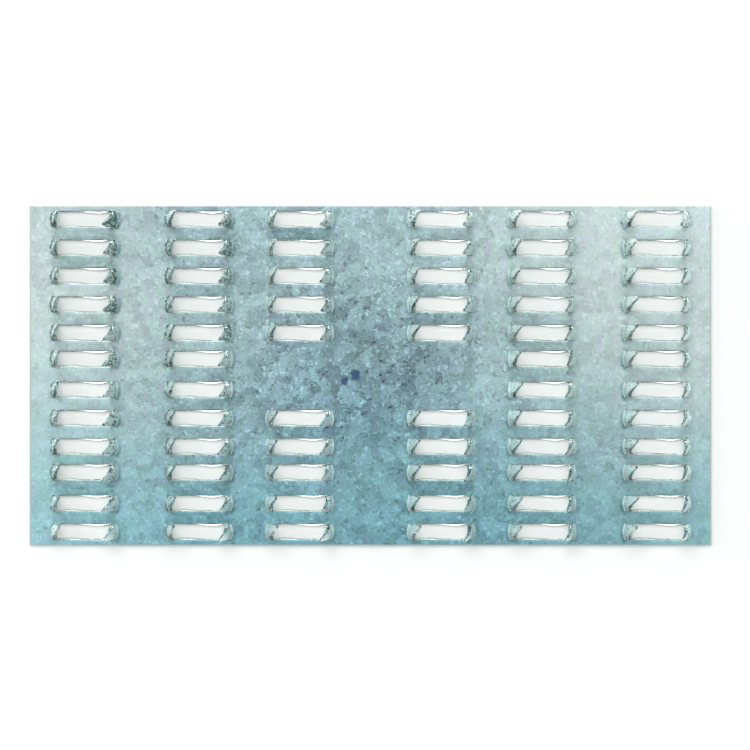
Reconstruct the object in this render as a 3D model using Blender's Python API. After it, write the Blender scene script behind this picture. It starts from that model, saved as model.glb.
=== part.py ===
"""Toothed mending plate: one piece of galvanised sheet, punched and bent into rows of facing teeth.

The sheet lies flat on its back face at z = 0, with its long side along X and its teeth along +Z.
Sizes are in metres.
"""

import math

import bmesh
import bpy

# Sheet
SHEET_THICKNESS = 0.00091
END_STRIP = 0.00449
EDGE_STRIP = 0.00102

# Pattern of the slots: columns along X, rows along Y counted from the +Y edge
MIDDLE_COLUMN_SPACING = 0.0316
INNER_COLUMN_SPACING = 0.02255
OUTER_COLUMN_SPACING = 0.02565
ROW_PITCH = 0.00635
ROW_COUNT = 12
BARE_ROW_COUNT = 2
HIGH_ROWS = (6, 10)
HIGH_ROW_SHIFT = 0.00055

# Slot, and the two teeth that are bent up at its ends
SLOT_WIDTH = 0.0037
OPENING_LENGTH = 0.0114
SIDE_CLEARANCE = 0.00015
WALL_BULGE = 0.00042
BULGE_PLACE = 0.0033
BULGE_LENGTH = 0.0058
BEND_RADIUS = 0.00055
BEND_ANGLE = math.radians(85)
BEND_STEPS = 2
NEUTRAL_LINE = 0.45
TOOTH_HEIGHT = 0.0111
TOOTH_CUP = 0.00055
TIP_INSET = 0.00055
TIP_DROP = 0.0009
TIP_THICKNESS = 0.0005

# Finish
ZINC_COLOUR = (0.44, 0.56, 0.58, 1.0)
ZINC_ROUGHNESS = 0.38
SMOOTH_ANGLE = math.radians(50)

# Worked out from the sizes above
TOOTH_HALF_WIDTH = SLOT_WIDTH / 2 - SIDE_CLEARANCE
SLOT_HALF_LENGTH = OPENING_LENGTH / 2 + SHEET_THICKNESS + BEND_RADIUS
BEND_AXIS_HEIGHT = SHEET_THICKNESS + BEND_RADIUS
BEND_LENGTH = BEND_ANGLE * (BEND_RADIUS + NEUTRAL_LINE * SHEET_THICKNESS)
INNER_COLUMN = MIDDLE_COLUMN_SPACING / 2
SECOND_COLUMN = INNER_COLUMN + INNER_COLUMN_SPACING
OUTER_COLUMN = SECOND_COLUMN + OUTER_COLUMN_SPACING
PLATE_HALF_LENGTH = OUTER_COLUMN + SLOT_HALF_LENGTH + TOOTH_CUP + END_STRIP
PLATE_HALF_WIDTH = (ROW_COUNT - 1) / 2 * ROW_PITCH + SLOT_WIDTH / 2 + EDGE_STRIP


def clear_scene():
    """Remove the objects that a new scene holds."""
    for scene_object in list(bpy.data.objects):
        bpy.data.objects.remove(scene_object, do_unlink=True)


def row_places():
    """Place of each row along Y, and whether the row is one of the middle rows that the inner columns lack."""
    places = []
    for row in range(1, ROW_COUNT + 1):
        rows_from_middle = (ROW_COUNT + 1) / 2 - row
        shift = HIGH_ROW_SHIFT if row in HIGH_ROWS else 0.0
        bare = abs(rows_from_middle) < BARE_ROW_COUNT / 2
        places.append((rows_from_middle * ROW_PITCH + shift, bare))
    return places


def slot_centres():
    """Centres of the slots, column by column."""
    centres = []
    for distance in (INNER_COLUMN, SECOND_COLUMN, OUTER_COLUMN):
        for x in (-distance, distance):
            for y, bare in row_places():
                if distance != INNER_COLUMN or not bare:
                    centres.append((x, y))
    return centres


def bend_line(across):
    """Distance from the slot's centre to where the sheet starts to bend. The cupped tooth curves it outward."""
    share = across / TOOTH_HALF_WIDTH
    return SLOT_HALF_LENGTH + TOOTH_CUP * (1 - share * share)


def on_tooth(start, depth, angle, shaft):
    """Place along the slot and height of a point on a tooth.

    The point lies at a depth below the sheet's front face, at an angle round the bend that begins at start, and
    at a length up the straight shaft after it.
    """
    radius = BEND_RADIUS + depth
    along = start - radius * math.sin(angle) - shaft * math.cos(angle)
    height = BEND_AXIS_HEIGHT - radius * math.cos(angle) + shaft * math.sin(angle)
    return along, height


def parting_cut():
    """The slanting cut that parts a slot's two teeth, in the sheet before it is bent.

    Each point is a place across the tooth and how far the cut runs past the slot's centre there. The cut is
    the same after half a turn about the slot's centre, so one line makes both teeth.
    """
    tip_across = TIP_INSET - TOOTH_HALF_WIDTH
    _, height_without_shaft = on_tooth(0.0, SHEET_THICKNESS - TIP_THICKNESS, BEND_ANGLE, 0.0)
    shaft = (TOOTH_HEIGHT - height_without_shaft) / math.sin(BEND_ANGLE)
    reach = shaft + BEND_LENGTH - bend_line(tip_across)
    tall_side = [(-TOOTH_HALF_WIDTH, reach - TIP_DROP), (tip_across, reach)]
    short_side = [(-across, -past) for across, past in reversed(tall_side)]
    return tall_side + [(0.0, 0.0)] + short_side


def tooth_levels():
    """Front and back points of one tooth, level by level from the bend line to the cut edge.

    Points are (along, across, height) from the slot's centre, for the tooth at the slot's +X end. The tooth is
    as wide as its slot at the bend line and narrows to its own width above it.
    """
    cut = parting_cut()
    root_widening = SLOT_WIDTH / 2 / TOOTH_HALF_WIDTH
    levels = []
    for step in range(BEND_STEPS + 1):
        angle = BEND_ANGLE * step / BEND_STEPS
        widening = root_widening if step == 0 else 1.0
        faces = []
        for depth in (0.0, SHEET_THICKNESS):
            points = []
            for across, _ in cut:
                along, height = on_tooth(bend_line(across), depth, angle, 0.0)
                points.append((along, across * widening, height))
            faces.append(points)
        levels.append(faces)
    longest = max(past for _, past in cut)
    front = []
    back = []
    for across, past in cut:
        start = bend_line(across)
        shaft = start + past - BEND_LENGTH
        thinning = (SHEET_THICKNESS - TIP_THICKNESS) * (past + longest) / (2 * longest)
        for points, depth in ((front, thinning), (back, SHEET_THICKNESS)):
            along, height = on_tooth(start, depth, BEND_ANGLE, shaft)
            points.append((along, across, height))
    levels.append([front, back])
    return levels


def wall_foot():
    """Lower edge of a slot's long wall between the tooth roots, where the parting cut pushed it into the slot.

    Points are placed as on a tooth. They lie on the wall that runs from the +X root along the +Y side.
    """
    across = SLOT_WIDTH / 2
    reach = BULGE_LENGTH / 2
    return [(BULGE_PLACE + reach, across, 0.0), (BULGE_PLACE, across - WALL_BULGE, 0.0),
            (BULGE_PLACE - reach, across, 0.0)]


def add_points(mesh, points, centre, turn):
    """Add points to the mesh at a slot's centre. A turn of -1 is half a turn about the upright axis."""
    x, y = centre
    return [mesh.verts.new((x + turn * along, y + turn * across, height)) for along, across, height in points]


def add_tooth(mesh, levels, centre, turn):
    """Build one tooth and return its first level, where it grows out of the sheet."""
    rows = [[add_points(mesh, points, centre, turn) for points in level] for level in levels]
    last = len(rows[0][0]) - 1
    for (low_front, low_back), (high_front, high_back) in zip(rows, rows[1:]):
        for i in range(last):
            mesh.faces.new((low_front[i], low_front[i + 1], high_front[i + 1], high_front[i]))
            mesh.faces.new((low_back[i + 1], low_back[i], high_back[i], high_back[i + 1]))
        mesh.faces.new((low_back[0], low_front[0], high_front[0], high_back[0]))
        mesh.faces.new((low_front[last], low_back[last], high_back[last], high_front[last]))
    top_front, top_back = rows[-1]
    for i in range(last):
        mesh.faces.new((top_front[i], top_front[i + 1], top_back[i + 1], top_back[i]))
    return rows[0]


def add_wall(mesh, top, far_top, foot):
    """Build a slot's long wall between two points of its straight upper edge and the points of its lower edge."""
    middle = len(foot) // 2
    for i in range(len(foot) - 1):
        mesh.faces.new((top if i < middle else far_top, foot[i + 1], foot[i]))
    mesh.faces.new((top, far_top, foot[middle]))


def add_slot(mesh, levels, centre):
    """Build one slot with its long walls and both teeth. Return its outlines on the front and the back face."""
    turns = (1, -1)
    ends = [add_tooth(mesh, levels, centre, turn) for turn in turns]
    front_outline = []
    back_outline = []
    for turn, (front, back), (next_front, next_back) in zip(turns, ends, reversed(ends)):
        foot = add_points(mesh, wall_foot(), centre, turn)
        add_wall(mesh, front[-1], next_front[0], [back[-1]] + foot + [next_back[0]])
        front_outline += front
        back_outline += back + foot
    return front_outline, back_outline


def outline_edges(mesh, outline):
    """Edges of a closed outline. All of them are there already, between the outline's neighbouring points."""
    return [mesh.edges.get((start, end)) for start, end in zip(outline, outline[1:] + outline[:1])]


def add_sheet(mesh, front_outlines, back_outlines):
    """Build the sheet's rim, and fill its front and back faces around the slots."""
    corners = [(-1, -1), (1, -1), (1, 1), (-1, 1)]
    rims = []
    for height in (SHEET_THICKNESS, 0.0):
        rims.append([mesh.verts.new((x * PLATE_HALF_LENGTH, y * PLATE_HALF_WIDTH, height)) for x, y in corners])
    front_rim, back_rim = rims
    for i in range(len(corners)):
        j = (i + 1) % len(corners)
        mesh.faces.new((back_rim[i], back_rim[j], front_rim[j], front_rim[i]))
    for outlines in ([front_rim] + front_outlines, [back_rim] + back_outlines):
        edges = []
        for outline in outlines:
            edges += outline_edges(mesh, outline)
        bmesh.ops.triangle_fill(mesh, edges=edges, use_beauty=True)


def zinc_material():
    """Dull, slightly blue hot-dip zinc."""
    material = bpy.data.materials.new("galvanised_zinc")
    material.use_nodes = True
    shader = material.node_tree.nodes["Principled BSDF"]
    shader.inputs["Base Color"].default_value = ZINC_COLOUR
    shader.inputs["Roughness"].default_value = ZINC_ROUGHNESS
    shader.inputs["Metallic"].default_value = 1.0
    return material


def mending_plate():
    """The whole plate as one mesh object."""
    mesh = bmesh.new()
    levels = tooth_levels()
    outlines = [add_slot(mesh, levels, centre) for centre in slot_centres()]
    add_sheet(mesh, [front for front, _ in outlines], [back for _, back in outlines])
    bmesh.ops.recalc_face_normals(mesh, faces=mesh.faces)
    data = bpy.data.meshes.new("mending_plate")
    mesh.to_mesh(data)
    mesh.free()
    data.shade_smooth()
    data.set_sharp_from_angle(angle=SMOOTH_ANGLE)
    data.materials.append(zinc_material())
    plate = bpy.data.objects.new("mending_plate", data)
    bpy.context.scene.collection.objects.link(plate)
    shading = plate.modifiers.new("flat_faces_stay_flat", "WEIGHTED_NORMAL")
    shading.keep_sharp = True


clear_scene()
mending_plate()
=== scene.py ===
import math
import random
from itertools import chain

import bmesh
import bpy
from bpy.props import FloatProperty, FloatVectorProperty, IntProperty, PointerProperty
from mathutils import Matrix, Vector, noise
from mathutils.geometry import delaunay_2d_cdt


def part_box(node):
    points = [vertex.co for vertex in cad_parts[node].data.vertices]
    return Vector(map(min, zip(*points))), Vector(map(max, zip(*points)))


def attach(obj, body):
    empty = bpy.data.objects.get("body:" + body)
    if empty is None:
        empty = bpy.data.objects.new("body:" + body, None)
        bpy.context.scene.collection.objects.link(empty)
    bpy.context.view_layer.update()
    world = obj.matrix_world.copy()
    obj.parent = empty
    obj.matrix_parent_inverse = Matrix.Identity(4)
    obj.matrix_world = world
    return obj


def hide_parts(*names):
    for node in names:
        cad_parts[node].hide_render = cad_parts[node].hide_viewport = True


bl_info = {
    "name": "Toothed mending plate",
    "version": (1, 0, 0),
    "blender": (4, 5, 0),
    "location": "3D View > Sidebar > Mending plate",
    "description": "Builds a galvanised mending plate with punched and bent teeth, and a plain studio",
    "category": "Mesh",
}

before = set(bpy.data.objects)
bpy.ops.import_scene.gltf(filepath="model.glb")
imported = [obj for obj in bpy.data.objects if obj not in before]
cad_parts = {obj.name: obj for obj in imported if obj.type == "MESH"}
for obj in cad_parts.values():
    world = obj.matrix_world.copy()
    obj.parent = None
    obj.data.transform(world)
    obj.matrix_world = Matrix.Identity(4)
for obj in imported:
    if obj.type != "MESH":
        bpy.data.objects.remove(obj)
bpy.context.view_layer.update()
NODE = "mending_plate"
PLATE_LOW, PLATE_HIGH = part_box(NODE)

# Fineness of the mesh: steps over a tooth and a slot's wall, and length of a piece of the rim
CORNER_STATIONS = 2
CUT_STATIONS = 6
BEND_STATIONS = 7
SHAFT_STATIONS = 8
WALL_STATIONS = 18
RIM_PIECE = 0.003
SMOOTH_ANGLE = math.radians(38)

# The two teeth of a slot, at its +X end and at its -X end
TURNS = (1, -1)

# Steps down a slot's wall: share of its inset, share of the thickness, and rise as a share of the inset
WALL_PROFILE = ((0.4, 0.56, 0.0), (1.0, 0.56, 0.12), (1.02, 0.3, 0.0))
# Bulge of a slot's wall, as shares of the way from the slot's middle to its end
BULGE_PEAK = 0.45
BULGE_TO_END = 0.25
BULGE_TO_MIDDLE = 0.42
# Unevenness of a slot's wall: how near its ends it fades, its wave, and its burr
WALL_FADE = 0.0008
WALL_WAVE = 0.00003
MEAN_BURR = 0.7
BURR_LOST_AT_BULGE = 0.7

# Random draws and noise
SEED = 11
GRAIN_RANGE = 100
SCORING_AND_SHADE_SPREAD = 0.12
LEAST_HEIGHT_LOSS = 0.2
WAVES_PER_METRE = 900
BURR_WAVES_PER_METRE = 1400
OTHER_NOISE = Vector((7, 3, 5))

# Wear of a tooth: how far its surface moves, the share of that across it, and its rise up the shaft
WEAR = 0.00004
WEAR_ACROSS = 0.6
WEAR_RISE = 3

# Outlines: sharpest corner where one is moved outward, and how the faces are filled
SHARPEST_CORNER = 0.5
FILL_INSIDE = 1
SAME_POINT = 1e-9

# Score marks with painted shade on the teeth: in the top row, and what the -X end adds to teeth at a slot's
# +X and -X end
ROW_SCORING_AND_SHADE = 0.14
PLUS_TOOTH_SCORING_AND_SHADE = 0.56
MINUS_TOOTH_SCORING_AND_SHADE = 0.3
# Painted dark reflection at roots: start as a share of the half length, darkness, and its rise toward +Y
DARK_REFLECTION_FROM = 0.4
DARK_REFLECTION_STRENGTH = 0.68
DARK_REFLECTION_RISE = 0.2
# Painted shade with dulled zinc outside a root that faces the plate's middle or end, and its share at the
# upper corner
FACING_MIDDLE = 0.5
FACING_END = 0.15
UPPER_CORNER = 0.3
# Painted shade with dulled zinc between two slots: amount, rise toward the long edges, noise, and loss
# toward +X
STRIP_DULL_AND_SHADE = 0.3
STRIP_RISE = 0.25
STRIP_NOISE = 1.2
STRIP_LOSS = 0.45
# How many pitches away a slot may be to count as the next one
NEXT_SLOT = 1.5
# Painted shade with dulled zinc on the rings round a slot, innermost first: outside its roots and beside its
# walls
RING_DULLNESS_AND_SHADE = ((1.0, 0.6), (0.9, 0.55), (0.0, 0.5))

# Broad tones: their drift, and the inner field of painted shade, which narrows and shifts toward +Y
DRIFT_SIZE = 0.03
INNER_REACH = 0.085
INNER_REACH_LOSS = 0.025
INNER_SHIFT = 0.018
# Darkest patch of painted shade in the field
HEART_MIDDLE = (-0.004, 0.0, 0.0)
HEART_LENGTH = 0.028
HEART_WIDTH = 0.024
# Painted light: paler ends, from where to where they brighten, and the tone's rise toward two corners
ENDS_REACH = (0.056, 0.072)
ENDS_TONE = 0.06
DIAGONAL_TONE = 32
# Pads in the bare rows: their middles, from where to where a tone changes, and how much
RUBBED_MIDDLE = -0.0175
RUBBED_REACH = (0.004, 0.0085)
RUBBED_TONE = 0.12
PRESSED_MIDDLE = 0.0157
PRESSED_REACH = (0.0067, 0.0073)
PRESSED_TONE = 0.05
BEYOND_START = (0.0223, 0.0229)
BEYOND_STOP = (0.026, 0.036)
BEYOND_TONE = 0.07
BARE_REACH = (0.0062, 0.007)

# Spangle: how the crystals' outlines waver, and the feathers on them
RIPPLE_SIZE = 0.0011
RIPPLE_SHIFT = 0.0016
FEATHER_SIZE = 0.001
FEATHER_SQUEEZE = 3.6
# Dark spots: middle and radius of each, reach of the soft edge in radii, and its raggedness
STAINS = (((-0.0057, -0.0012), 0.0014), ((-0.0035, 0.0001), 0.0016))
STAIN_EDGE = 1.5
STAIN_GRAIN = 0.0008
STAIN_RAGGEDNESS = 0.0018
# Zinc: blotches and drawn lines in its painted shade with dulled zinc, the worn band at the two ends, and
# its relief
DULL_AND_SHADE_BLOTCH = 0.0012
DRAWN_LINE = 0.0005
WORN_BAND = (0.0006, 0.0003)
GRAIN_SIZE = 0.0005
GRAIN_DEPTH = 0.00005

# Teeth: blotches, streaks and relief, and the heights where the painted highlight at the foot, the painted
# dark reflection at the root and the painted shade in the bend end
BLOTCH_SIZE = 0.0006
STREAK_SIZE = 0.00035
SCORE_DEPTH = 0.00012
FOOT_HIGHLIGHT = (0.00006, 0.0002)
FOOT_RAGGEDNESS = 0.0002
DARK_REFLECTION_FOOT = (0.00012, 0.0004)
BEND_TOP = (0.0012, 0.0019)

# Cut edges: streaks and relief, painted shade at the foot and on the neck over the wall's lip, and torn
# metal above
SHEAR_STREAK = 0.0003
SHEAR_DEPTH = 0.00004
FOOT_SHADE = (0.00012, 0.00026)
NECK_START = (0.00058, 0.00066)
NECK_STOP = (0.00086, 0.00094)
TORN_FROM = (0.0015, 0.003)

# Studio: side and place of each soft box, gap under the plate, and the camera's nearest view
TOP_BOX = (1.2, (0, 0, 1.1))
KEY_BOX = (1.0, (-0.2, 0.84, 1.24))
LEFT_BOX = (0.8, (-1.5, 0.2, 0.44))
RIGHT_BOX = (0.8, (1.5, 0.2, 0.44))
FLOOR_GAP = 0.00002
NEAREST_VIEW = 0.01
WHITE = (1, 1, 1, 1)

# Material slots of the plate's mesh
ZINC = 0
SHEARED = 1
OUTER_FACE = 2
INNER_FACE = 3


class PatternSizes(bpy.types.PropertyGroup):
    """Where the slots lie on the sheet. The same values as the solid's."""

    sheet_thickness: FloatProperty(
        name="Sheet thickness", description="Thickness of the sheet with its zinc",
        default=0.00091, unit="LENGTH")
    middle_spacing: FloatProperty(
        name="Middle spacing", description="Between the two inner columns",
        default=0.0316, unit="LENGTH")
    inner_spacing: FloatProperty(
        name="Inner spacing", description="From an inner column to the next",
        default=0.02255, unit="LENGTH")
    outer_spacing: FloatProperty(
        name="Outer spacing", description="From that column to the outer one",
        default=0.02565, unit="LENGTH")
    row_pitch: FloatProperty(
        name="Row pitch", description="From one row of slots to the next",
        default=0.00635, unit="LENGTH")
    row_count: IntProperty(
        name="Rows", description="Slots in a full column", default=12)
    bare_row_count: IntProperty(
        name="Bare rows", description="Middle rows that the inner columns lack", default=2)
    high_row_shift: FloatProperty(
        name="High row shift", description="How far the two high rows lie above their place",
        default=0.00055, unit="LENGTH")


class SlotSizes(bpy.types.PropertyGroup):
    """One slot and its two teeth. The first eleven values and the wall's bulge are the solid's."""

    slot_width: FloatProperty(
        name="Slot width", description="Across the slot at its front edge",
        default=0.0037, unit="LENGTH")
    opening_length: FloatProperty(
        name="Opening length", description="Clear length between the roots",
        default=0.0114, unit="LENGTH")
    side_clearance: FloatProperty(
        name="Side clearance", description="From a tooth's side to its slot's side",
        default=0.00015, unit="LENGTH")
    bend_radius: FloatProperty(
        name="Bend radius", description="Inner radius of the bend at a tooth's root",
        default=0.00055, unit="LENGTH")
    bend_angle: FloatProperty(
        name="Bend angle", description="How far a tooth is bent up",
        default=math.radians(85), subtype="ANGLE")
    neutral_line: FloatProperty(
        name="Neutral line", description="Depth in the bend that keeps its length, as a share",
        default=0.45)
    tooth_height: FloatProperty(
        name="Tooth height", description="Tip of a tooth over the sheet's back",
        default=0.0111, unit="LENGTH")
    tooth_cup: FloatProperty(
        name="Tooth cup", description="How far a tooth's middle bulges outward",
        default=0.00055, unit="LENGTH")
    tip_inset: FloatProperty(
        name="Tip inset", description="From a tooth's tall side to its tip",
        default=0.00055, unit="LENGTH")
    tip_drop: FloatProperty(
        name="Tip drop", description="From the tip down to the tall side's corner",
        default=0.0009, unit="LENGTH")
    tip_thickness: FloatProperty(
        name="Tip thickness", description="Metal left at the tip", default=0.0005, unit="LENGTH")
    edge_roll: FloatProperty(
        name="Edge roll", description="How far the sheared edges are rounded over",
        default=0.00004, unit="LENGTH")
    wall_bulge: FloatProperty(
        name="Wall bulge", description="How far a slot's wall stands in where the cut ran into it",
        default=0.00042, unit="LENGTH")
    burr_width: FloatProperty(
        name="Burr width", description="How far the burr stands out at the foot of a slot's wall",
        default=0.00016, unit="LENGTH")
    # The band of painted shade with dulled zinc round a slot
    dull_and_shade_width: FloatProperty(
        name="Dull width", description="Width of the dulled zinc round a slot",
        default=0.0008, unit="LENGTH")
    root_dish: FloatProperty(
        name="Root dish", description="How deep the sheet is drawn in round a tooth's root",
        default=0.00003, unit="LENGTH")
    dish_width: FloatProperty(
        name="Dish width", description="Width of the drawn-in band round a slot",
        default=0.00012, unit="LENGTH")
    extra_lean: FloatProperty(
        name="Extra lean", description="How much farther the teeth lean than the solid's do",
        default=math.radians(2.2), subtype="ANGLE")
    short_side_loss: FloatProperty(
        name="Short side loss", description="How much of a tooth's short side the parting cut crumpled",
        default=0.0015, unit="LENGTH")
    lean_spread: FloatProperty(
        name="Lean spread", description="How much the teeth's angles differ",
        default=math.radians(1.2), subtype="ANGLE")
    twist_spread: FloatProperty(
        name="Twist spread", description="How much the teeth are twisted",
        default=math.radians(5), subtype="ANGLE")
    height_spread: FloatProperty(
        name="Height spread", description="How much shorter a worn tooth may be",
        default=0.0003, unit="LENGTH")


class ZincFinish(bpy.types.PropertyGroup):
    """Colours and grain of the hot-dip zinc, with painted light, shade, highlights and reflections."""

    # The blend from pale zinc at the upper edge to bluer, darker zinc at the lower edge is painted light and
    # shade
    pale_zinc_and_light: FloatVectorProperty(
        name="Pale zinc", description="Colour near the upper edge",
        default=(0.55, 0.655, 0.65), subtype="COLOR", min=0.0, max=1.0)
    blue_zinc_and_shade: FloatVectorProperty(
        name="Blue zinc", description="Colour near the lower edge",
        default=(0.325, 0.575, 0.62), subtype="COLOR", min=0.0, max=1.0)
    # Painted shade over the inner field, and once more over its heart
    middle_shade: FloatVectorProperty(
        name="Middle tone", description="What the inner field's zinc is dulled by",
        default=(0.655, 0.76, 0.81), subtype="COLOR", min=0.0, max=1.0)
    heart_shade: FloatVectorProperty(
        name="Heart tone", description="What the very middle is dulled by once more",
        default=(0.69, 0.75, 0.785), subtype="COLOR", min=0.0, max=1.0)
    green_cast: FloatVectorProperty(
        name="Green cast", description="Hue of the greener crystals",
        default=(0.97, 1.015, 0.98), subtype="COLOR", min=0.0, max=2.0)
    violet_cast: FloatVectorProperty(
        name="Violet cast", description="Hue of the bluer crystals",
        default=(1.0, 0.985, 1.02), subtype="COLOR", min=0.0, max=2.0)
    # Painted shade with dulled zinc round the slots and on the strips between them
    dull_zinc_and_shade: FloatVectorProperty(
        name="Dull zinc", description="What the crazed zinc round the slots is dulled by",
        default=(0.35, 0.5, 0.5), subtype="COLOR", min=0.0, max=1.0)
    worn_end: FloatVectorProperty(
        name="Worn end", description="Greyer zinc along the plate's two sheared ends",
        default=(0.52, 0.58, 0.55), subtype="COLOR", min=0.0, max=1.0)
    stain: FloatVectorProperty(
        name="Stain", description="Colour of the two dark spots",
        default=(0.05, 0.095, 0.19), subtype="COLOR", min=0.0, max=1.0)
    # Score marks on the teeth; their dark and bright streaks are also painted dark reflections and painted
    # highlights
    scored_dark_and_reflection: FloatVectorProperty(
        name="Scored dark", description="Dark streaks where the punch has scored the teeth",
        default=(0.14, 0.25, 0.23), subtype="COLOR", min=0.0, max=1.0)
    # The bright zinc at the teeth's feet is a painted highlight
    scored_bright_and_highlight: FloatVectorProperty(
        name="Scored bright", description="Bright streaks on the teeth and bright zinc at their feet",
        default=(0.87, 0.96, 0.93), subtype="COLOR", min=0.0, max=1.0)
    # Painted shade in the bend at a tooth's root
    bend_shade: FloatVectorProperty(
        name="Bent zinc", description="What the zinc in the bend at a tooth's root is dulled by",
        default=(0.58, 0.68, 0.70), subtype="COLOR", min=0.0, max=1.0)
    sheared_steel: FloatVectorProperty(
        name="Sheared steel", description="Colour of the cut edges",
        default=(0.86, 0.96, 0.93), subtype="COLOR", min=0.0, max=1.0)
    # Dark torn steel, also used for painted shade at the foot and neck of the cut edges and painted dark
    # reflection at some roots
    torn_steel_and_shade: FloatVectorProperty(
        name="Sheared foot", description="Dark torn bands on the cut edges, and the cracks at some roots",
        default=(0.03, 0.06, 0.06), subtype="COLOR", min=0.0, max=1.0)
    crystal_size: FloatProperty(
        name="Crystal size", description="Across one zinc crystal", default=0.0021, unit="LENGTH")
    fleck_size: FloatProperty(
        name="Fleck size", description="Across one bright fleck", default=0.00055, unit="LENGTH")
    roughness: FloatProperty(
        name="Roughness", description="Middle roughness of the zinc", default=0.42)


class StudioLook(bpy.types.PropertyGroup):
    """Floor, lights and camera."""

    floor_size: FloatProperty(
        name="Floor size", description="Side of the square floor", default=4.0, unit="LENGTH")
    floor_colour: FloatVectorProperty(
        name="Floor colour", description="Colour of the plain floor",
        default=(0.94, 0.97, 0.955), subtype="COLOR", min=0.0, max=1.0)
    floor_glow: FloatProperty(
        name="Floor glow", description="White that the camera sees on the floor besides its shading",
        default=0.06)
    sky_strength: FloatProperty(
        name="Sky strength", description="Soft light from all round", default=0.42)
    top_power: FloatProperty(
        name="Top power", description="Power of the wide soft box overhead", default=1.3, unit="POWER")
    key_power: FloatProperty(
        name="Key power", description="Power of the soft box beyond the upper edge",
        default=10.0, unit="POWER")
    left_power: FloatProperty(
        name="Left power", description="Power of the low soft box on the left",
        default=13.0, unit="POWER")
    right_power: FloatProperty(
        name="Right power", description="Power of the low soft box on the right",
        default=9.0, unit="POWER")
    camera_height: FloatProperty(
        name="Camera height", description="Camera over the sheet's back face",
        default=0.8, unit="LENGTH")
    photo_side: IntProperty(
        name="Photo side", description="Width and height of the photo in pixels", default=750)
    photo_scale: FloatProperty(
        name="Photo scale", description="Pixels to a millimetre at the sheet", default=4.47)
    plate_middle: FloatVectorProperty(
        name="Plate middle", description="Pixel of the photo at the plate's middle",
        default=(370.5, 375.5), size=2)


class Field:
    """A socket of a graph. Sums, differences, products and quotients of fields add Math nodes."""

    def __init__(self, graph, socket):
        self.graph = graph
        self.socket = socket

    def __add__(self, other):
        return self.graph.maths("ADD", self, other)

    def __sub__(self, other):
        return self.graph.maths("SUBTRACT", self, other)

    def __rsub__(self, other):
        return self.graph.maths("SUBTRACT", other, self)

    def __mul__(self, other):
        return self.graph.maths("MULTIPLY", self, other)

    def __truediv__(self, other):
        return self.graph.maths("DIVIDE", self, other)

    def __abs__(self):
        return self.graph.maths("ABSOLUTE", self)

    __radd__ = __add__
    __rmul__ = __mul__


class Graph:
    """The nodes of a material or of the world. Its own shader is there from the start."""

    def __init__(self, owner, shader="Principled BSDF"):
        owner.use_nodes = True
        self.owner = owner
        self.tree = owner.node_tree
        self.shader = self.tree.nodes[shader]

    def node(self, kind, settings=None, sockets=None, output=0):
        """Add a node: first its settings, then the values or links of its sockets, by name or by number."""
        made = self.tree.nodes.new(kind)
        for name, value in (settings or {}).items():
            setattr(made, name, value)
        self.feed(made, sockets or {})
        return Field(self, made.outputs[output])

    def feed(self, node, sockets):
        """Give a node's sockets their values or links."""
        for name, value in sockets.items():
            if isinstance(value, Field):
                self.tree.links.new(value.socket, node.inputs[name])
            else:
                node.inputs[name].default_value = value

    def maths(self, operation, first, second=0.0):
        """A number worked out from one or two numbers."""
        return self.node("ShaderNodeMath", {"operation": operation}, {0: first, 1: second})

    def vectors(self, operation, first, second):
        """A vector or colour worked out from two."""
        return self.node("ShaderNodeVectorMath", {"operation": operation}, {0: first, 1: second})

    def scaled(self, vector, factor):
        """A vector or colour times a number that may vary."""
        return self.node("ShaderNodeVectorMath", {"operation": "SCALE"}, {0: vector, "Scale": factor})

    def mixed(self, factor, first, second):
        """Colour between two colours, which are sockets 6 and 7 and output 2 of a Mix node."""
        pair = {0: factor, 6: opaque(first), 7: opaque(second)}
        return self.node("ShaderNodeMix", {"data_type": "RGBA"}, pair, output=2)

    def ramp(self, value, low, high):
        """Smooth step from 0 at low to 1 at high."""
        settings = {"interpolation_type": "SMOOTHSTEP"}
        return self.node("ShaderNodeMapRange", settings, {0: value, 1: low, 2: high, 3: 0.0, 4: 1.0})

    def near(self, value, middle, full, end):
        """1 as far as full from a middle, falling to 0 at end."""
        return 1 - self.ramp(abs(value - middle), full, end)

    def dulled(self, colour, factor, tint):
        """A colour multiplied by a tint, as far as a factor from 0 to 1 says; the script paints shade with
        it.
        """
        return self.vectors("MULTIPLY", colour, self.mixed(factor, (1, 1, 1), tint))

    def bump(self, height, strength, distance):
        """Normals for a relief."""
        sockets = {"Strength": strength, "Distance": distance, "Height": height}
        return self.node("ShaderNodeBump", None, sockets)

    def noted(self, name):
        """A number noted on the mesh's points."""
        return self.node("ShaderNodeAttribute", {"attribute_name": name}, output="Fac")

    def place(self):
        """Place on the object, in metres."""
        return self.node("ShaderNodeTexCoord", output="Object")

    def part(self, vector, axis):
        """One part of a vector or colour."""
        return self.node("ShaderNodeSeparateXYZ", None, {0: vector}, output=axis)

    def cloud(self, place, size, detail=2.0, roughness=0.5, output=0):
        """Soft noise of about a given size in metres."""
        sockets = {"Vector": place, "Scale": 1 / size, "Detail": detail, "Roughness": roughness}
        return self.node("ShaderNodeTexNoise", None, sockets, output)

    def cells(self, place, size, output):
        """Crystals of a given size in metres: their distance or their own random colour."""
        return self.node("ShaderNodeTexVoronoi", None, {"Vector": place, "Scale": 1 / size}, output)


def placed(name, data):
    """A new object in the scene."""
    made = bpy.data.objects.new(name, data)
    bpy.context.scene.collection.objects.link(made)
    return made


def opaque(colour):
    """A colour with its alpha, unless it is a field."""
    return colour if isinstance(colour, Field) else (*colour, 1.0)


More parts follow.
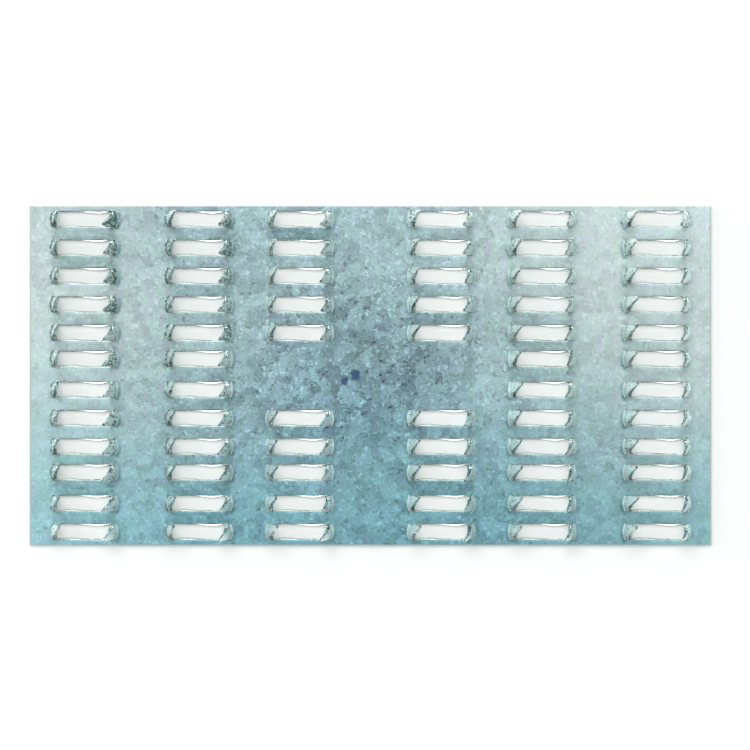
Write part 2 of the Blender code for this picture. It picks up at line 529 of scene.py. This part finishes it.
def rows(pattern):
    """Place of each row along Y, and whether it is one of the middle rows that the inner columns lack."""
    high_rows = (pattern.row_count // 2, pattern.row_count - 2)
    places = []
    for row in range(1, pattern.row_count + 1):
        from_middle = (pattern.row_count + 1) / 2 - row
        shift = pattern.high_row_shift if row in high_rows else 0.0
        bare = abs(from_middle) < pattern.bare_row_count / 2
        places.append((from_middle * pattern.row_pitch + shift, bare))
    return places


def slot_middles(pattern):
    """Middles of all the slots, column by column."""
    inner = pattern.middle_spacing / 2
    second = inner + pattern.inner_spacing
    outer = second + pattern.outer_spacing
    middles = []
    for column in (inner, second, outer):
        for x in (-column, column):
            for y, bare in rows(pattern):
                if column != inner or not bare:
                    middles.append((x, y))
    return middles


class Tooth:
    """Shape of one tooth, in its slot's own frame: along the slot, across it, and height.

    It is the tooth at the slot's +X end. The other one is the same after half a turn.
    """

    def __init__(self, slot, thickness, scored, dark_reflection, chance):
        self.slot = slot
        # How dark the tooth's score marks and painted shade are
        self.scored = scored + chance.uniform(-SCORING_AND_SHADE_SPREAD, SCORING_AND_SHADE_SPREAD)
        self.dark_reflection = dark_reflection
        self.thickness = thickness
        self.half_slot = slot.slot_width / 2
        self.half_tooth = self.half_slot - slot.side_clearance
        self.reach = slot.opening_length / 2 + thickness + slot.bend_radius
        self.angle = slot.bend_angle - slot.extra_lean + chance.uniform(-1, 1) * slot.lean_spread
        self.twist = math.tan(chance.uniform(-1, 1) * slot.twist_spread)
        self.bend_length = slot.bend_angle * (slot.bend_radius + slot.neutral_line * thickness)
        self.tip_share = slot.tip_inset / self.half_tooth - 1
        low = self.spot(0.0, thickness - slot.tip_thickness, slot.bend_angle, 0.0)[1]
        shaft = (slot.tooth_height - low) / math.sin(slot.bend_angle)
        self.longest = shaft + self.bend_length - self.root(self.tip_share)
        self.missing = chance.uniform(LEAST_HEIGHT_LOSS, 1) * slot.height_spread
        self.grain = chance.uniform(0, GRAIN_RANGE)

    def root(self, share):
        """Distance from the slot's middle to where the sheet starts to bend."""
        return self.reach + self.slot.tooth_cup * (1 - share * share)

    def spot(self, start, depth, angle, shaft):
        """Place along the slot and height of a point at a depth under the front face."""
        radius = self.slot.bend_radius + depth
        along = start - radius * math.sin(angle) - shaft * math.cos(angle)
        height = self.thickness + self.slot.bend_radius - radius * math.cos(angle) + shaft * math.sin(angle)
        return along, height

    def cut(self, share):
        """How far past the slot's middle the parting cut runs."""
        side = abs(share)
        tip = -self.tip_share
        if side > tip:
            past = self.longest - self.slot.tip_drop * (side - tip) / (1 - tip)
        else:
            past = self.longest * side / tip
        return math.copysign(past, -share)

    def shares(self):
        """Stations across the tooth from -1 to 1, with one on the tip and one on its mirror."""
        tip = -self.tip_share
        outer = [-1 + (1 - tip) * i / CORNER_STATIONS for i in range(CORNER_STATIONS)]
        middle = [-tip + 2 * tip * i / CUT_STATIONS for i in range(CUT_STATIONS + 1)]
        return outer + middle + [-share for share in reversed(outer)]

    def loop(self, angle, climb):
        """Closed loop of points round the tooth, at an angle in its bend and a share of its shaft."""
        narrowing = min(1.0, 2 * angle / self.slot.bend_angle)
        half = self.half_slot + (self.half_tooth - self.half_slot) * narrowing
        thinning = self.thickness - self.slot.tip_thickness
        front = []
        back = []
        for share in self.shares():
            past = self.cut(share)
            start = self.root(share)
            lost = self.missing * (1 - share) / 2 + self.slot.short_side_loss * (1 + share) / 2
            shaft = climb * (start + past - self.bend_length - lost)
            thin = thinning * (past + self.longest) / (2 * self.longest) * climb
            for side, depth in ((front, thin), (back, self.thickness)):
                along, height = self.spot(start, depth, angle, shaft)
                across = share * half
                along += self.twist * across * climb
                side.append(self.worn(Vector((along, across, height)), climb))
        return front + [halfway(front[-1], back[-1])] + back[::-1] + [halfway(back[0], front[0])]

    def worn(self, point, climb):
        """Move a point a little, as the punch leaves it. The root stays."""
        spread = WEAR * min(1.0, climb * WEAR_RISE)
        if not spread:
            return point
        seed = Vector((point.x, point.y, point.z + self.grain)) * WAVES_PER_METRE
        across = WEAR_ACROSS * noise.noise(seed + OTHER_NOISE)
        return point + Vector((noise.noise(seed), across, 0.0)) * spread

    def loops(self):
        """All loops from the bend line to the cut edge."""
        bend = [self.loop(self.angle * i / BEND_STATIONS, 0.0) for i in range(BEND_STATIONS + 1)]
        shaft = [self.loop(self.angle, i / SHAFT_STATIONS) for i in range(1, SHAFT_STATIONS + 1)]
        return bend + shaft


def halfway(first, second):
    """Middle of two points."""
    return (first + second) / 2


def bulge_share(along, reach):
    """How much of its bulge a slot's wall has. It bulges where the parting cut ran into the wall."""
    from_peak = along / reach - BULGE_PEAK
    spread = BULGE_TO_END if from_peak > 0 else BULGE_TO_MIDDLE
    return math.exp(-((from_peak / spread) ** 2))


def add_wall(mesh, tooth, place):
    """Rows of points along one long side of a slot, from this tooth to the other, the front edge first."""
    slot = tooth.slot
    wall = [[] for _ in range(len(WALL_PROFILE) + 2)]
    for i in range(1, WALL_STATIONS):
        along = tooth.reach * (1 - 2 * i / WALL_STATIONS)
        near_end = min(1.0, (tooth.reach - abs(along)) / WALL_FADE)
        bulge = bulge_share(along, tooth.reach)
        inset = (slot.wall_bulge * bulge + slot.burr_width / 2) * near_end
        wave = WALL_WAVE * noise.noise(Vector((along * WAVES_PER_METRE, tooth.grain, 0.0))) * near_end
        torn = MEAN_BURR + noise.noise(Vector((along * BURR_WAVES_PER_METRE, 0.0, tooth.grain)))
        burr = slot.burr_width * torn * (1 - BURR_LOST_AT_BULGE * bulge) * near_end
        profile = [(-wave, tooth.thickness - slot.edge_roll * near_end)]
        profile += [(inset * share, height * tooth.thickness + rise * inset)
                    for share, height, rise in WALL_PROFILE]
        profile.append((inset + burr, 0.0))
        for row, (inward, height) in zip(wall, profile):
            row.append(mesh.verts.new(place(along, tooth.half_slot - inward, height)))
    return wall


def strip(mesh, first, second, material):
    """Quads between two rows of points, and triangles where the rows share a point."""
    for corners in zip(first, first[1:], second[1:], second):
        mesh.faces.new(dict.fromkeys(corners)).material_index = material


def add_tooth(mesh, tooth, place):
    """Skin one tooth from its root to its cut edge. Return its root: front row, side, back row, side."""
    stations = len(tooth.shares())
    loops = [[mesh.verts.new(place(*point)) for point in loop] for loop in tooth.loops()]
    # Note the tooth's score marks with painted shade, and its painted dark reflection, on its points
    scored = mesh.verts.layers.float["scored"]
    dark_reflection = mesh.verts.layers.float["dark_reflection"]
    for vert in chain(*loops):
        vert[scored] = tooth.scored
        vert[dark_reflection] = tooth.dark_reflection
    size = len(loops[0])
    for low, high in zip(loops, loops[1:]):
        for i in range(size):
            j = (i + 1) % size
            face = mesh.faces.new((low[i], low[j], high[j], high[i]))
            if i < stations - 1:
                face.material_index = OUTER_FACE
            elif stations + 1 <= i < size - 2:
                face.material_index = INNER_FACE
            else:
                face.material_index = SHEARED
    top = loops[-1]
    front = top[:stations]
    back = top[stations + 1:-1][::-1]
    strip(mesh, front, back, SHEARED)
    mesh.faces.new((front[-1], top[stations], back[-1])).material_index = SHEARED
    mesh.faces.new((back[0], top[-1], front[0])).material_index = SHEARED
    root = loops[0]
    return root[:stations], root[stations], root[stations + 1:-1][::-1], root[-1]


def moved_out(points, distance):
    """Points of a closed outline moved outward by a distance along its own normals."""
    count = len(points)
    moved = []
    for i, point in enumerate(points):
        before = (point - points[i - 1]).normalized()
        after = (points[(i + 1) % count] - point).normalized()
        normal = Vector((before.y + after.y, -before.x - after.x)).normalized()
        corner = max(SHARPEST_CORNER, normal.dot(Vector((before.y, -before.x))))
        moved.append(point + normal * distance / corner)
    return moved


def add_ring(mesh, inner, distance, heights):
    """A band of quads round a closed row of points. Return its outer row."""
    flat = [vert.co.xy for vert in inner]
    places = zip(moved_out(flat, distance), heights)
    outer = [mesh.verts.new((*point, height)) for point, height in places]
    strip(mesh, inner + inner[:1], outer + outer[:1], ZINC)
    return outer


def add_dull_and_shade(mesh, rings, root_dull_and_shade, beside, middle_y, half_slot):
    """Note how much painted shade with dulled zinc lies round a slot: most outside its roots, toward the
    lower edge.
    """
    dull_and_shade = mesh.verts.layers.float["dull_and_shade"]
    above, below = beside
    for ring, (at_roots, at_sides) in zip(rings, RING_DULLNESS_AND_SHADE):
        for vert, root in zip(ring, root_dull_and_shade):
            if root:
                lower = 0.5 - 0.5 * (vert.co.y - middle_y) / half_slot
                corner = UPPER_CORNER + (1 - UPPER_CORNER) * min(1.0, max(0.0, lower))
                vert[dull_and_shade] = at_roots * root * corner
            else:
                vert[dull_and_shade] = at_sides * (above if vert.co.y > middle_y else below)


def scoring_and_shade(x, y, turn):
    """How dark a tooth's score marks and painted shade are: most toward -X, above all on the +X teeth of the
    upper rows.
    """
    shade_toward_minus_x = max(0.0, -x / PLATE_HIGH.x)
    row = 0.5 + 0.5 * y / PLATE_HIGH.y
    return ROW_SCORING_AND_SHADE * row + shade_toward_minus_x * (PLUS_TOOTH_SCORING_AND_SHADE * row if turn > 0 else MINUS_TOOTH_SCORING_AND_SHADE)


def dark_reflection_at_root(x, y, turn):
    """How dark the painted reflection is where a tooth bends up: on the -X teeth of the two columns at -X.
    """
    if turn > 0 or x >= -DARK_REFLECTION_FROM * PLATE_HIGH.x:
        return 0.0
    return DARK_REFLECTION_STRENGTH + DARK_REFLECTION_RISE * y / PLATE_HIGH.y


def dull_and_shade_outside(x, turn):
    """How much painted shade with dulled zinc lies outside a root: more where it faces the plate's middle,
    above all far out.
    """
    return FACING_MIDDLE + abs(x) / PLATE_HIGH.x if turn * x < 0 else FACING_END


def dull_and_shade_beside(middle, middles, pitch):
    """How much painted shade with dulled zinc the strips beside a slot get, on its +Y side and on its -Y
    side: 0 where no slot follows.

    They are paler toward the plate's +X end and toward its middle rows.
    """
    x, y = middle
    share = 1 - STRIP_LOSS * max(0.0, x / PLATE_HIGH.x)
    found = []
    for side in (1, -1):
        dull_and_shade_amount = 0.0
        for other_x, other_y in middles:
            if other_x == x and 0 < side * (other_y - y) < NEXT_SLOT * pitch:
                strip_y = (y + other_y) / 2
                uneven = noise.noise(Vector((x * WAVES_PER_METRE, strip_y * WAVES_PER_METRE, 0.0)))
                dull_and_shade_amount = STRIP_DULL_AND_SHADE + STRIP_RISE * abs(strip_y) / PLATE_HIGH.y + STRIP_NOISE * uneven
        found.append(share * max(0.0, dull_and_shade_amount))
    return found


def add_teeth(mesh, slot, thickness, middle, chance):
    """Both teeth of a slot and the wall beside each. Return the roots and the walls' rows."""
    x, y = middle
    roots = []
    walls = []
    for turn in TURNS:
        tooth = Tooth(slot, thickness, scoring_and_shade(x, y, turn), dark_reflection_at_root(x, y, turn), chance)

        def place(along, across, height, turn=turn):
            return (x + turn * along, y + turn * across, height)

        roots.append(add_tooth(mesh, tooth, place))
        walls.append(add_wall(mesh, tooth, place))
    return roots, walls


def add_slot(mesh, slot, thickness, middle, beside, chance):
    """One slot with its walls and teeth. Return its outermost rows on the front and on the back face."""
    x, y = middle
    roots, walls = add_teeth(mesh, slot, thickness, middle, chance)
    front_row = []
    back_row = []
    root_dull_and_shade = []
    for i, turn in enumerate(TURNS):
        front, side, back, _ = roots[i]
        next_front, _, next_back, next_side = roots[1 - i]
        starts = [front[-1]] + [side] * len(WALL_PROFILE) + [back[-1]]
        stops = [next_front[0]] + [next_side] * len(WALL_PROFILE) + [next_back[0]]
        levels = [[start] + row + [stop] for start, row, stop in zip(starts, walls[i], stops)]
        for upper, lower in zip(levels, levels[1:]):
            strip(mesh, upper, lower, SHEARED)
        front_row += front + walls[i][0]
        back_row += back + walls[i][-1]
        # Painted shade with dulled zinc outside each root
        root_dull_and_shade += [dull_and_shade_outside(x, turn)] * len(front) + [0.0] * len(walls[i][0])
    heights = [thickness - slot.root_dish if dull_and_shade else thickness for dull_and_shade in root_dull_and_shade]
    dish = add_ring(mesh, front_row, slot.dish_width, heights)
    outer_front = add_ring(mesh, dish, slot.dull_and_shade_width, [thickness] * len(dish))
    outer_back = add_ring(mesh, back_row, slot.dish_width, [0.0] * len(back_row))
    add_dull_and_shade(mesh, (front_row, dish, outer_front), root_dull_and_shade, beside, y, slot.slot_width / 2)
    return outer_front, outer_back


def rim_points(half_length, half_width):
    """Points round the sheet's outline, counter-clockwise."""
    corners = [(-half_length, -half_width), (half_length, -half_width), (half_length, half_width),
               (-half_length, half_width)]
    points = []
    for (x0, y0), (x1, y1) in zip(corners, corners[1:] + corners[:1]):
        pieces = round(math.hypot(x1 - x0, y1 - y0) / RIM_PIECE)
        points += [Vector((x0 + (x1 - x0) * i / pieces, y0 + (y1 - y0) * i / pieces)) for i in range(pieces)]
    return points


def add_rim(mesh, thickness, roll):
    """The sheet's sheared outer edge. Return its inner rows on the front and on the back face."""
    rings = []
    for inset, height in ((roll, thickness), (0.0, thickness - roll), (0.0, roll), (roll, 0.0)):
        points = rim_points(PLATE_HIGH.x - inset, PLATE_HIGH.y - inset)
        rings.append([mesh.verts.new((*point, height)) for point in points])
    for upper, lower in zip(rings, rings[1:]):
        strip(mesh, upper + upper[:1], lower + lower[:1], ZINC)
    return rings[0], rings[-1]


def fill_face(mesh, rim, outlines):
    """Fill one face of the sheet between its rim and the slots' outlines."""
    verts = []
    owners = []
    edges = []
    for number, row in enumerate([rim] + outlines):
        first = len(verts)
        edges += [(first + i, first + (i + 1) % len(row)) for i in range(len(row))]
        owners += [number] * len(row)
        verts += row
    flat = [vert.co.xy for vert in verts]
    _, _, triangles, sources, _, _ = delaunay_2d_cdt(flat, edges, [], FILL_INSIDE, SAME_POINT, True)
    for triangle in triangles:
        corners = [sources[i][0] for i in triangle]
        if not spans_hole(corners, [owners[i] for i in corners]):
            mesh.faces.new([verts[i] for i in corners])


def spans_hole(corners, owners):
    """Whether a triangle lies in a slot, where it joins three points of one outline in their order."""
    if owners[0] == 0 or owners.count(owners[0]) < 3:
        return False
    first = corners.index(min(corners))
    return corners[first - 2] < corners[first - 1]


def dressed_sheet(pattern, slot):
    """The whole plate as one fine mesh."""
    mesh = bmesh.new()
    # Noted on the points: painted shade with dulled zinc, how dark a tooth's score marks and painted shade
    # are, and painted dark reflection at roots
    for name in ("dull_and_shade", "scored", "dark_reflection"):
        mesh.verts.layers.float.new(name)
    chance = random.Random(SEED)
    front_rim, back_rim = add_rim(mesh, pattern.sheet_thickness, slot.edge_roll)
    fronts = []
    backs = []
    middles = slot_middles(pattern)
    for middle in middles:
        beside = dull_and_shade_beside(middle, middles, pattern.row_pitch)
        front, back = add_slot(mesh, slot, pattern.sheet_thickness, middle, beside, chance)
        fronts.append(front)
        backs.append(back)
    fill_face(mesh, front_rim, fronts)
    fill_face(mesh, back_rim, backs)
    bmesh.ops.recalc_face_normals(mesh, faces=mesh.faces)
    data = bpy.data.meshes.new("toothed_sheet")
    mesh.to_mesh(data)
    mesh.free()
    data.shade_smooth()
    data.set_sharp_from_angle(angle=SMOOTH_ANGLE)
    sheet = placed("toothed_sheet", data)
    shading = sheet.modifiers.new("flat_faces_stay_flat", "WEIGHTED_NORMAL")
    shading.keep_sharp = True
    return sheet


def pad_tone(graph, x, y):
    """How much paler the bare rows are where they were rubbed, and darker where a pad pressed."""
    rubbed = graph.near(x, RUBBED_MIDDLE, *RUBBED_REACH)
    pressed = graph.near(x, PRESSED_MIDDLE, *PRESSED_REACH)
    beyond = graph.ramp(x, *BEYOND_START) * (1 - graph.ramp(x, *BEYOND_STOP))
    bare = graph.near(y, 0.0, *BARE_REACH)
    return bare * (rubbed * RUBBED_TONE - pressed * PRESSED_TONE + beyond * BEYOND_TONE)


def field_tone(graph, finish, x, y):
    """Broad colour of the sheet with painted light and shade, darker toward the middle, and how strong its
    spangle is.
    """
    place = graph.place()
    drift = graph.cloud(place, DRIFT_SIZE, 3.0) - 0.5
    height = y / PLATE_HIGH.y
    # Painted light and shade: pale zinc toward +Y, bluer and darker zinc toward -Y
    down = graph.ramp(drift * 0.7 - height, -0.35, 1.1)
    tone = graph.mixed(down, finish.pale_zinc_and_light, finish.blue_zinc_and_shade)
    up = height * 0.5 + 0.5
    sideways = abs(x + up * up * INNER_SHIFT)
    reach = INNER_REACH - up * INNER_REACH_LOSS
    # Painted shade over the inner field, and further on once more over its heart
    inner = 1 - graph.ramp(sideways / reach + drift * 0.5, 0.25, 1.02)
    tone = graph.dulled(tone, inner, finish.middle_shade)
    from_heart = graph.vectors("SUBTRACT", place, HEART_MIDDLE)
    stretch = graph.vectors("MULTIPLY", from_heart, (1 / HEART_LENGTH, 1 / HEART_WIDTH, 0))
    radius = graph.node("ShaderNodeVectorMath", {"operation": "LENGTH"}, {0: stretch}, output="Value")
    heart = 1 - graph.ramp(radius + drift * 0.6, 0.3, 1.2)
    tone = graph.dulled(tone, heart, finish.heart_shade)
    # Painted light: paler ends, and a tone that rises toward two corners
    ends = graph.ramp(abs(x), *ENDS_REACH)
    shade = 1 + x * y * DIAGONAL_TONE + ends * ENDS_TONE + pad_tone(graph, x, y)
    return graph.scaled(tone, shade), 0.42 + inner * 0.5 + heart * 0.6


def spangle(graph, finish):
    """Brightness of the zinc crystals, round 0, the two numbers that tell them apart, and their feathers."""
    place = graph.place()
    ripple = graph.vectors("SUBTRACT", graph.cloud(place, RIPPLE_SIZE, output=1), (0.5, 0.5, 0.5))
    bent = graph.vectors("ADD", place, graph.scaled(ripple, RIPPLE_SHIFT))
    crystal = graph.cells(bent, finish.crystal_size, "Color")
    tone = graph.part(crystal, 0)
    turn = graph.part(crystal, 1)
    turned = graph.node("ShaderNodeVectorRotate", {"rotation_type": "Z_AXIS"},
                        {"Vector": bent, "Angle": turn * (2 * math.pi)})
    squeezed = graph.vectors("MULTIPLY", turned, (1.0, FEATHER_SQUEEZE, 1.0))
    feathers = graph.cloud(squeezed, FEATHER_SIZE, 4.0, 0.65)
    fleck = graph.part(graph.cells(bent, finish.fleck_size, "Color"), 0)
    glint = graph.ramp(fleck, 0.86, 0.97)
    pit = graph.ramp(fleck, 0.12, 0.02)
    bright = (tone - 0.5) * 0.35 + (feathers - 0.5) * 1.3 + glint * 0.35 - pit * 0.3
    return bright, tone, turn, feathers


def stain_mask(graph):
    """1 inside the two small dark spots near the middle."""
    place = graph.place()
    flat = graph.vectors("MULTIPLY", place, (1, 1, 0))
    ragged = graph.cloud(place, STAIN_GRAIN, 3.0) * STAIN_RAGGEDNESS
    mask = 0.0
    for spot, radius in STAINS:
        away = graph.node("ShaderNodeVectorMath", {"operation": "DISTANCE"}, {0: flat, 1: (*spot, 0.0)},
                          output="Value")
        mask = graph.maths("MAXIMUM", mask, graph.ramp(away + ragged, radius * STAIN_EDGE, radius))
    return mask


def zinc_material(finish):
    """Hot-dip zinc with its spangle and painted light and shade, painted shade with dulled, drawn zinc round
    the slots, and worn along the two ends.
    """
    graph = Graph(bpy.data.materials.new("galvanised_zinc"))
    place = graph.place()
    x = graph.part(place, 0)
    y = graph.part(place, 1)
    tone, contrast = field_tone(graph, finish, x, y)
    bright, crystal, turn, feathers = spangle(graph, finish)
    colour = graph.scaled(tone, 1 + bright * contrast)
    hue = graph.mixed(graph.ramp(turn, 0.2, 0.8), finish.green_cast, finish.violet_cast)
    colour = graph.vectors("MULTIPLY", colour, hue)
    # Painted shade with dulled zinc round the slots and on the strips between them
    dull_and_shade = graph.noted("dull_and_shade") * (graph.cloud(place, DULL_AND_SHADE_BLOTCH) * 1.6 + 0.1)
    colour = graph.dulled(colour, dull_and_shade, finish.dull_zinc_and_shade)
    drawn = graph.cloud(graph.vectors("MULTIPLY", place, (0.1, 1, 1)), DRAWN_LINE)
    colour = graph.scaled(colour, 1 + (drawn - 0.5) * dull_and_shade * 1.2)
    at_end = graph.ramp(abs(x), *[PLATE_HIGH.x - inset for inset in WORN_BAND])
    colour = graph.mixed(at_end * 0.8, colour, finish.worn_end)
    grain = graph.cloud(place, GRAIN_SIZE, 3.0) * 0.5 + feathers * 0.35
    graph.feed(graph.shader, {
        "Base Color": graph.mixed(stain_mask(graph) * 0.9, colour, finish.stain),
        "Metallic": 1.0,
        "Roughness": finish.roughness - 0.06 + crystal * 0.12,
        "Normal": graph.bump(grain, 0.35, GRAIN_DEPTH),
    })
    return graph.owner


def scored_material(finish, name, foot):
    """Zinc on a tooth's face: a painted highlight or painted dark reflection at its foot, painted shade in
    the bend, and score marks with painted dark reflections and highlights above.
    """
    graph = Graph(bpy.data.materials.new(name))
    place = graph.place()
    height = graph.part(place, 2)
    blotches = graph.cloud(graph.vectors("MULTIPLY", place, (1, 1, 0.2)), BLOTCH_SIZE, 3.0, 0.65)
    streaks = graph.cloud(graph.vectors("MULTIPLY", place, (1, 1, 0.08)), STREAK_SIZE)
    score = blotches * 0.6 + streaks * 0.4
    scored = graph.noted("scored") * 0.25
    # Dark and bright streaks: score marks, with painted dark reflections and painted highlights; the noted
    # amount sets how much is dark
    bright = graph.ramp(score, scored + 0.33, scored + 0.45)
    # Painted highlight at the foot of the face
    foot_highlight = 1 - graph.ramp(height + blotches * FOOT_RAGGEDNESS, *[foot + rise for rise in FOOT_HIGHLIGHT])
    shade = graph.maths("MAXIMUM", bright, foot_highlight)
    colour = graph.mixed(shade, finish.scored_dark_and_reflection, finish.scored_bright_and_highlight)
    # Painted dark reflection at the root of some -X teeth
    low = 1 - graph.ramp(height, *[foot + rise for rise in DARK_REFLECTION_FOOT])
    dark_reflection = graph.noted("dark_reflection") * low * graph.ramp(blotches, 0.41, 0.53)
    colour = graph.mixed(dark_reflection, colour, finish.torn_steel_and_shade)
    # Painted shade in the bend
    bend = 1 - graph.ramp(height, *BEND_TOP)
    colour = graph.dulled(colour, bend, finish.bend_shade)
    graph.feed(graph.shader, {
        "Base Color": graph.scaled(colour, 1 - bend * (blotches - 0.5)),
        "Metallic": 0.9,
        "Roughness": 0.42 + blotches * 0.25,
        "Normal": graph.bump(score, 0.75, SCORE_DEPTH),
    })
    return graph.owner


def sheared_material(finish):
    """Bare steel of the cut edges: streaked by the punch, with painted shade at the foot and the neck, and
    torn above.
    """
    graph = Graph(bpy.data.materials.new("sheared_steel"))
    place = graph.place()
    height = graph.part(place, 2)
    streaks = graph.cloud(graph.vectors("MULTIPLY", place, (1, 1, 0.15)), SHEAR_STREAK)
    # Painted shade at the foot and on the neck over the wall's lip
    foot = 1 - graph.ramp(height, *FOOT_SHADE)
    neck = graph.ramp(height, *NECK_START) * (1 - graph.ramp(height, *NECK_STOP))
    torn = graph.ramp(height, *TORN_FROM) * graph.ramp(streaks, 0.46, 0.56)
    dark = graph.maths("MAXIMUM", graph.maths("MAXIMUM", foot, neck), torn)
    graph.feed(graph.shader, {
        "Base Color": graph.mixed(dark, finish.sheared_steel, finish.torn_steel_and_shade),
        "Metallic": 1.0,
        "Roughness": 0.2 + streaks * 0.15,
        "Normal": graph.bump(streaks, 0.4, SHEAR_DEPTH),
    })
    return graph.owner


def floor_material(studio):
    """Plain pale floor that the camera sees as white where nothing shades it."""
    graph = Graph(bpy.data.materials.new("pale_floor"))
    colour = opaque(studio.floor_colour)
    graph.feed(graph.shader, {"Base Color": colour, "Roughness": 1.0, "Specular IOR Level": 0.0})
    strength = seen_directly(graph) * studio.floor_glow
    glow = graph.node("ShaderNodeEmission", None, {"Color": WHITE, "Strength": strength})
    total = graph.node("ShaderNodeAddShader", None, {0: Field(graph, graph.shader.outputs[0]), 1: glow})
    graph.feed(graph.tree.nodes["Material Output"], {"Surface": total})
    return graph.owner


def seen_directly(graph):
    """1 for what the camera sees straight, mirrored or through glass."""
    rays = [graph.node("ShaderNodeLightPath", output=name)
            for name in ("Is Camera Ray", "Is Glossy Ray", "Is Transmission Ray")]
    return graph.maths("MAXIMUM", graph.maths("MAXIMUM", rays[0], rays[1]), rays[2])


def add_floor(studio):
    """The floor that the plate lies on."""
    half = studio.floor_size / 2
    corners = [(-half, -half, 0), (half, -half, 0), (half, half, 0), (-half, half, 0)]
    data = bpy.data.meshes.new("floor")
    data.from_pydata(corners, [], [range(len(corners))])
    data.materials.append(floor_material(studio))
    floor = placed("floor", data)
    floor.location.z = PLATE_LOW.z - FLOOR_GAP


def set_sky(studio):
    """Even soft light, white where the camera sees it."""
    world = bpy.data.worlds.new("studio")
    bpy.context.scene.world = world
    graph = Graph(world, "Background")
    seen = graph.node("ShaderNodeLightPath", output="Is Camera Ray")
    strengths = {"Value": seen, "To Min": studio.sky_strength, "To Max": 1.0}
    graph.feed(graph.shader, {"Color": WHITE, "Strength": graph.node("ShaderNodeMapRange", None, strengths)})


def add_soft_box(name, power, size, place):
    """A square lamp that faces the plate."""
    light = bpy.data.lights.new(name, "AREA")
    light.energy = power
    light.size = size
    lamp = placed(name, light)
    lamp.location = place
    lamp.rotation_euler = (-Vector(place)).to_track_quat("-Z", "Y").to_euler()


def add_camera(studio):
    """Camera straight over the plate, at the photo's scale."""
    data = bpy.data.cameras.new("camera")
    camera = placed("camera", data)
    metre = studio.photo_scale * 1000
    middle = studio.photo_side / 2
    offset_x = (middle - studio.plate_middle[0]) / metre
    offset_y = (studio.plate_middle[1] - middle) / metre
    camera.location = (offset_x, offset_y, studio.camera_height)
    data.lens = data.sensor_width * studio.camera_height * metre / studio.photo_side
    data.clip_start = NEAREST_VIEW
    bpy.context.scene.camera = camera


class PLATE_OT_toothed_sheet(bpy.types.Operator):
    """Build the galvanised sheet with its slots and teeth"""

    bl_idname = "plate.toothed_sheet"
    bl_label = "Toothed sheet"

    def execute(self, context):
        scene = context.scene
        sheet = dressed_sheet(scene.plate_pattern, scene.plate_slot)
        finish = scene.plate_finish
        front_face = scene.plate_pattern.sheet_thickness
        back_face = 0.0
        outer = scored_material(finish, "outer_tooth_face", front_face)
        inner = scored_material(finish, "inner_tooth_face", back_face)
        for material in (zinc_material(finish), sheared_material(finish), outer, inner):
            sheet.data.materials.append(material)
        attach(sheet, "root")
        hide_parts(NODE)
        return {"FINISHED"}


class PLATE_OT_studio(bpy.types.Operator):
    """Set the floor, the lights and the camera"""

    bl_idname = "plate.studio"
    bl_label = "Studio"

    def execute(self, context):
        studio = context.scene.plate_studio
        add_floor(studio)
        set_sky(studio)
        add_soft_box("top", studio.top_power, *TOP_BOX)
        add_soft_box("key", studio.key_power, *KEY_BOX)
        add_soft_box("left", studio.left_power, *LEFT_BOX)
        add_soft_box("right", studio.right_power, *RIGHT_BOX)
        add_camera(studio)
        context.scene.view_settings.view_transform = "Standard"
        return {"FINISHED"}


class PLATE_PT_maker(bpy.types.Panel):
    """Steps and sizes of the plate"""

    bl_idname = "PLATE_PT_maker"
    bl_label = "Mending plate"
    bl_space_type = "VIEW_3D"
    bl_region_type = "UI"
    bl_category = "Mending plate"

    def draw(self, context):
        column = self.layout.column()
        for step in STEPS:
            column.operator(step.bl_idname)
        for name, group in SETTINGS.items():
            settings = getattr(context.scene, name)
            box = self.layout.box()
            for value in group.__annotations__:
                box.prop(settings, value)


SETTINGS = {
    "plate_pattern": PatternSizes,
    "plate_slot": SlotSizes,
    "plate_finish": ZincFinish,
    "plate_studio": StudioLook,
}
STEPS = (PLATE_OT_toothed_sheet, PLATE_OT_studio)


def register():
    """Register every class and hang the settings on the scene."""
    for name, group in SETTINGS.items():
        bpy.utils.register_class(group)
        setattr(bpy.types.Scene, name, PointerProperty(type=group))
    for step in STEPS:
        bpy.utils.register_class(step)
    bpy.utils.register_class(PLATE_PT_maker)


def unregister():
    """Take away what register added."""
    bpy.utils.unregister_class(PLATE_PT_maker)
    for step in reversed(STEPS):
        bpy.utils.unregister_class(step)
    for name, group in SETTINGS.items():
        delattr(bpy.types.Scene, name)
        bpy.utils.unregister_class(group)


def main():
    """Build the plate, then the studio round it."""
    register()
    bpy.ops.plate.toothed_sheet()
    bpy.ops.plate.studio()


if __name__ == "__main__":
    main()
